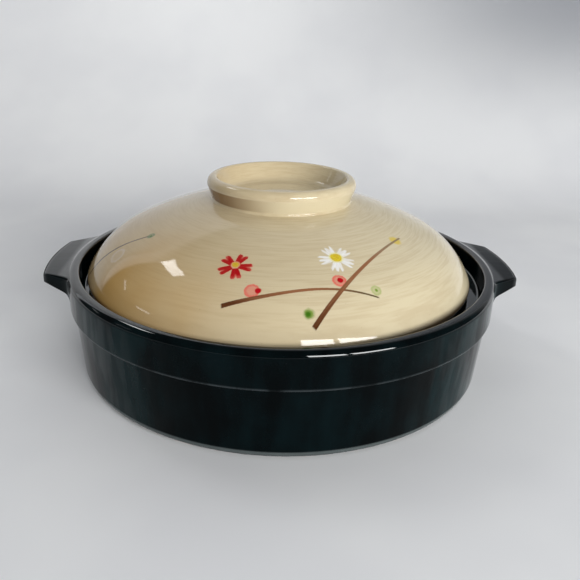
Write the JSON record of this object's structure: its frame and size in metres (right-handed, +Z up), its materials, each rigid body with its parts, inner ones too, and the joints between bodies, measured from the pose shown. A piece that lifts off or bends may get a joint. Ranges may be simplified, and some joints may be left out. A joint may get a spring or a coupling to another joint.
{
  "type": "donabe clay pot",
  "caption": "Shallow lidded clay pot with shelf handles on a stepped collar, an inner ledge for the lid, and a domed lid with a ring knob and a steam vent.",
  "frame": {"origin": "on the table, under the middle of the pot's bounding box", "axes": "+X through the two handles, +Z up through the knob, the front that the picture shows faces -Y"},
  "size_m": [0.2974, 0.2694, 0.1175],
  "materials": {
    "pot_glaze": "high gloss",
    "lid_glaze": "gloss"
  },
  "bodies": {
    "pot": {"pot_bowl": "pot_glaze", "handle_left": "pot_glaze", "handle_right": "pot_glaze"},
    "lid": {"lid_dome": "lid_glaze", "lid_knob": "lid_glaze"}
  },
  "joints": [
    {"name": "lid_lift", "type": "slide", "parent": "pot", "child": "lid", "axis": [0, 0, 1], "range_m": [0, 0.12]}
  ]
}
